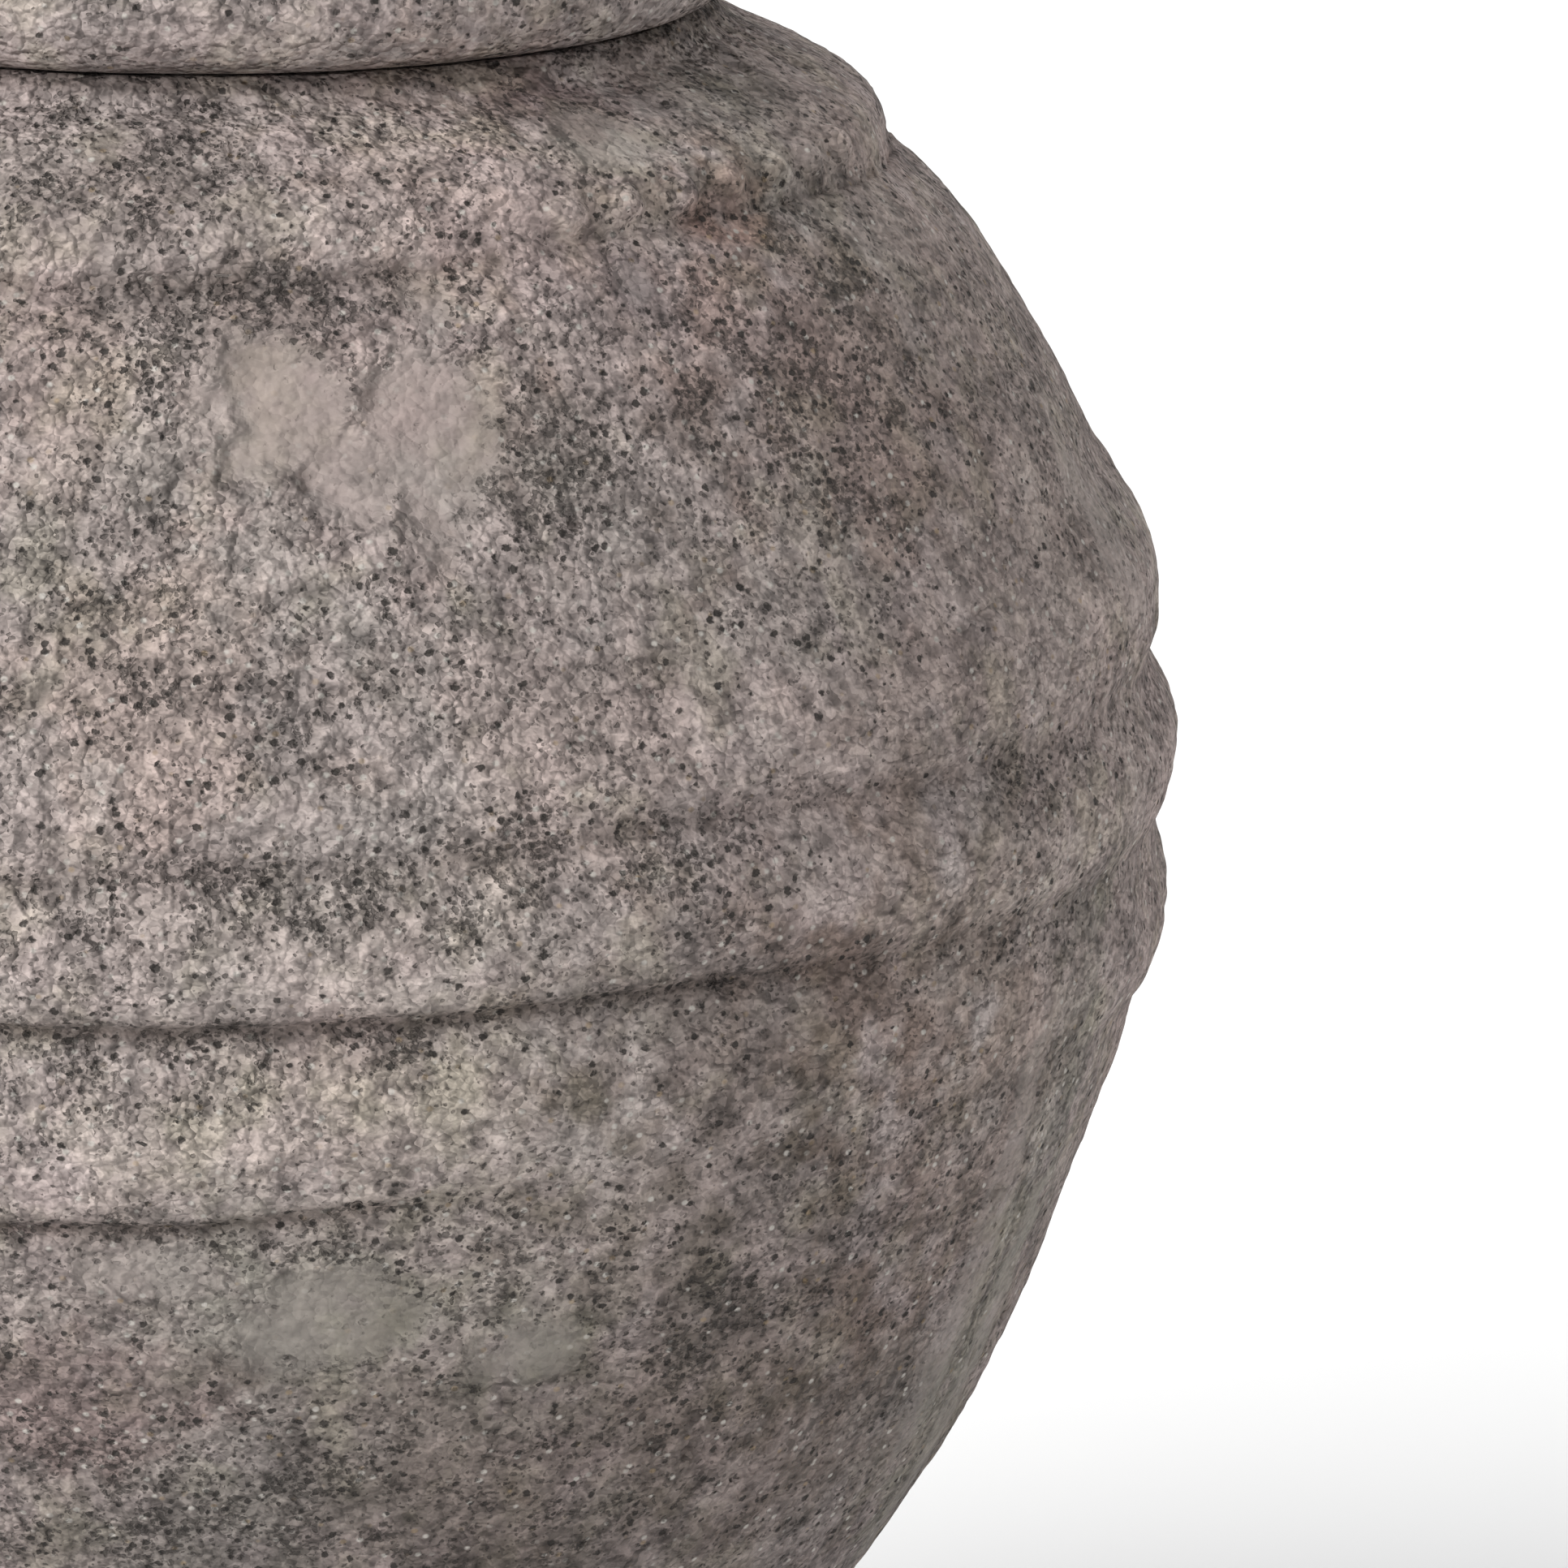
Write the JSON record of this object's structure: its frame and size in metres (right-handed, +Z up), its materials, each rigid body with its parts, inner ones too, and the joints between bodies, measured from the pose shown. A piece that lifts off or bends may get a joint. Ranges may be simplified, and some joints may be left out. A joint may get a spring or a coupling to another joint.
{
  "type": "stone lantern",
  "caption": "Jar-bodied garden lantern of weathered stone with raised belly bands, lift-off cap and finial, light windows and a glass-guarded candle dish.",
  "frame": {"origin": "centre of the flat base, on the ground", "axes": "+Z up the lantern's axis; the windows face -Y (front, the side the lamp comes out of) and +Y (back)"},
  "size_m": [0.3998, 0.3968, 0.5756],
  "materials": {
    "carved_stone": "rough, pitted and weathered",
    "mortar": "rough sanded lime mortar",
    "bronze": "dull turned bronze",
    "iron": "blackened, light rust",
    "wax": "soft satin wax",
    "cotton": "charred braided cotton",
    "clear_glass": "clear, slightly dusty"
  },
  "bodies": {
    "root": {"foot_stone": "carved_stone", "foot_bed": "mortar", "foot_dowel": "bronze", "belly_stone": "carved_stone", "shoulder_bed": "mortar", "shoulder_stone": "carved_stone"},
    "cap": {"cap_stone": "carved_stone", "finial_ring": "carved_stone"},
    "finial": {"finial": "carved_stone"},
    "lamp": {"lamp_dish": "iron", "gallery_ring": "iron", "dish_handle": "iron", "handle_rivets": "iron", "candle_cup": "iron", "candle": "wax", "wick": "cotton"},
    "chimney": {"chimney": "clear_glass"}
  },
  "joints": [
    {"name": "cap_lift", "type": "slide", "parent": "root", "child": "cap", "axis": [0, 0, 1], "range_m": [0, 0.15]},
    {"name": "finial_lift", "type": "slide", "parent": "cap", "child": "finial", "axis": [0, 0, 1], "range_m": [0, 0.08]},
    {"name": "lamp_slide", "type": "slide", "parent": "root", "child": "lamp", "axis": [0, -1, 0], "range_m": [0, 0.27]},
    {"name": "chimney_lift", "type": "slide", "parent": "lamp", "child": "chimney", "axis": [0, 0, 1], "range_m": [0, 0.066]}
  ]
}
